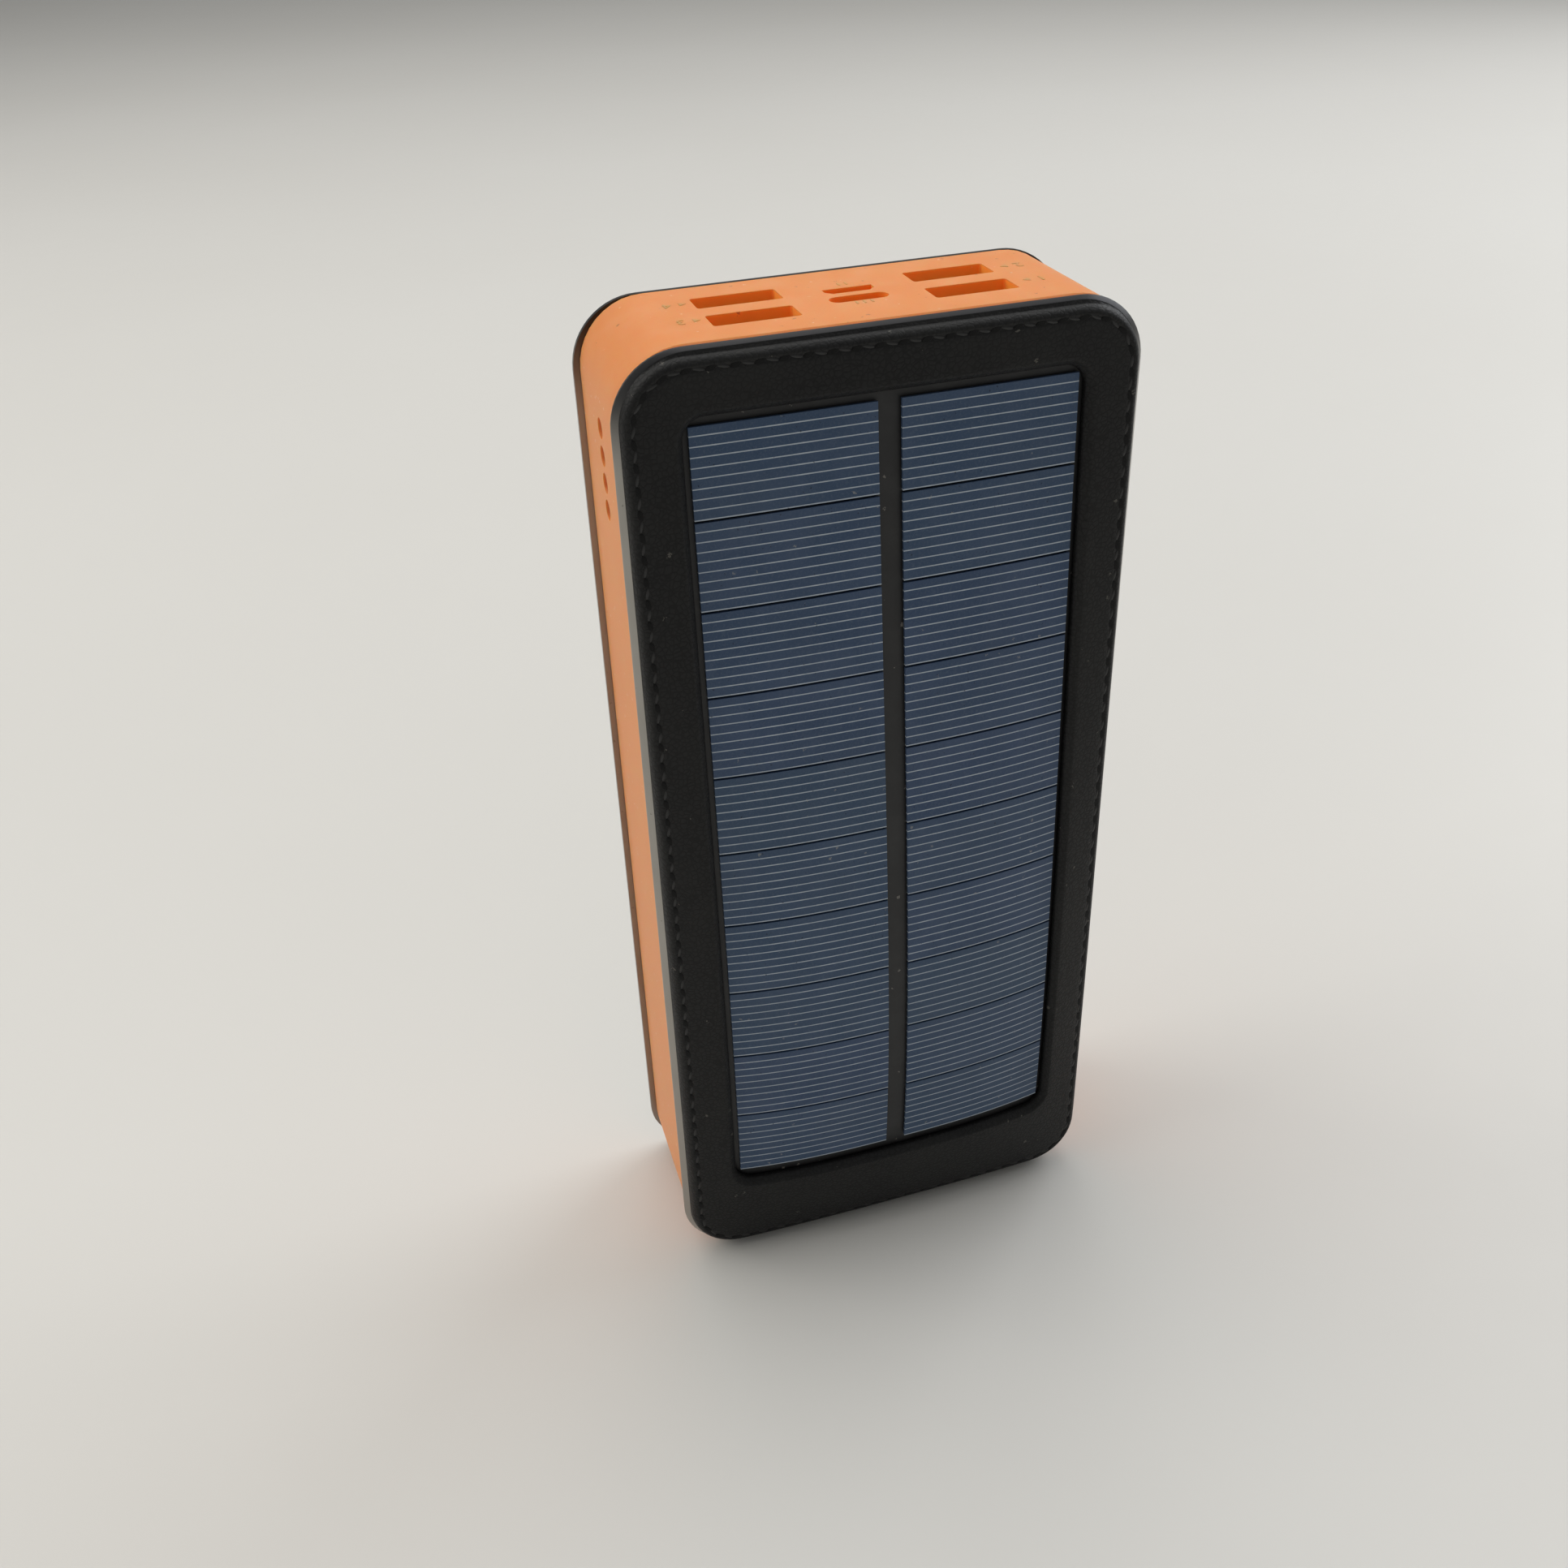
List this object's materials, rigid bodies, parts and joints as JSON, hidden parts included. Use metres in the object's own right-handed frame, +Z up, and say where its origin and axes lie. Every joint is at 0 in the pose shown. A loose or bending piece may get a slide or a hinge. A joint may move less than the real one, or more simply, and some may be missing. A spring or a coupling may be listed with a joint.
{
  "type": "solar power bank",
  "caption": "Hand-sized solar power bank standing on end: bowed cell panel in a black leather-look cover, orange frame, USB ports on top.",
  "frame": {"origin": "centre of the lower end, on the surface it stands on", "axes": "+Z up along the long side towards the ports, -Y out of the solar panel, +X to the right as the panel is faced"},
  "size_m": [0.082, 0.0356, 0.179],
  "materials": {
    "black_skin": "leather-grained, satin edge",
    "orange_soft": "matt soft-touch",
    "solar_cell": "laminated, dusty",
    "solar_backing": "satin",
    "circuit_board": "solder mask",
    "port_steel": "plated",
    "white_plastic": "satin",
    "black_plastic": "satin",
    "clear_plastic": "milky",
    "led_resin": "clear cap",
    "pouch_foil": "laminated foil",
    "frosted_plastic": "frosted",
    "lead_jacket": "matt",
    "ferrite": "moulded"
  },
  "bodies": {
    "housing": {"middle_frame": "orange_soft", "front_cover": "black_skin", "rear_cover": "black_skin", "solar_board": "solar_backing", "solar_cell_left_01": "solar_cell", "solar_cell_left_02": "solar_cell", "solar_cell_left_03": "solar_cell", "solar_cell_left_04": "solar_cell", "solar_cell_left_05": "solar_cell", "solar_cell_left_06": "solar_cell", "solar_cell_left_07": "solar_cell", "solar_cell_left_08": "solar_cell", "solar_cell_left_09": "solar_cell", "solar_cell_left_10": "solar_cell", "solar_cell_right_01": "solar_cell", "solar_cell_right_02": "solar_cell", "solar_cell_right_03": "solar_cell", "solar_cell_right_04": "solar_cell", "solar_cell_right_05": "solar_cell", "solar_cell_right_06": "solar_cell", "solar_cell_right_07": "solar_cell", "solar_cell_right_08": "solar_cell", "solar_cell_right_09": "solar_cell", "solar_cell_right_10": "solar_cell", "main_board": "circuit_board", "usb_a_shell_1": "port_steel", "usb_a_shell_2": "port_steel", "usb_a_shell_3": "port_steel", "usb_a_shell_4": "port_steel", "usb_a_tongue_1": "white_plastic", "usb_a_tongue_2": "white_plastic", "usb_a_tongue_3": "white_plastic", "usb_a_tongue_4": "white_plastic", "usb_c_shell": "port_steel", "usb_c_tongue": "black_plastic", "micro_usb_shell": "port_steel", "micro_usb_tongue": "black_plastic", "light_pipe": "clear_plastic", "charge_led_1": "led_resin", "charge_led_2": "led_resin", "charge_led_3": "led_resin", "charge_led_4": "led_resin", "switch_body": "black_plastic", "battery_pouch_front": "pouch_foil", "battery_pouch_rear": "pouch_foil", "lamp_diffuser": "frosted_plastic", "lamp_board": "white_plastic", "inductor": "ferrite", "controller_chip": "black_plastic", "board_screw_1": "port_steel", "board_screw_2": "port_steel", "solar_lead": "lead_jacket", "battery_lead": "lead_jacket", "lamp_lead": "lead_jacket"},
    "button": {"power_button": "black_plastic"},
    "plunger": {"switch_plunger": "white_plastic"}
  },
  "joints": [
    {"name": "button_press", "type": "slide", "parent": "housing", "child": "button", "axis": [-1, 0, 0], "range_m": [0, 0.0005], "stiffness_N_per_m": 400},
    {"name": "plunger_press", "type": "slide", "parent": "housing", "child": "plunger", "axis": [-1, 0, 0], "range_m": [0, 0.00025]}
  ],
  "couplings": [
    {"joint": "plunger_press", "follows": "button_press", "ratio": 0.5}
  ]
}
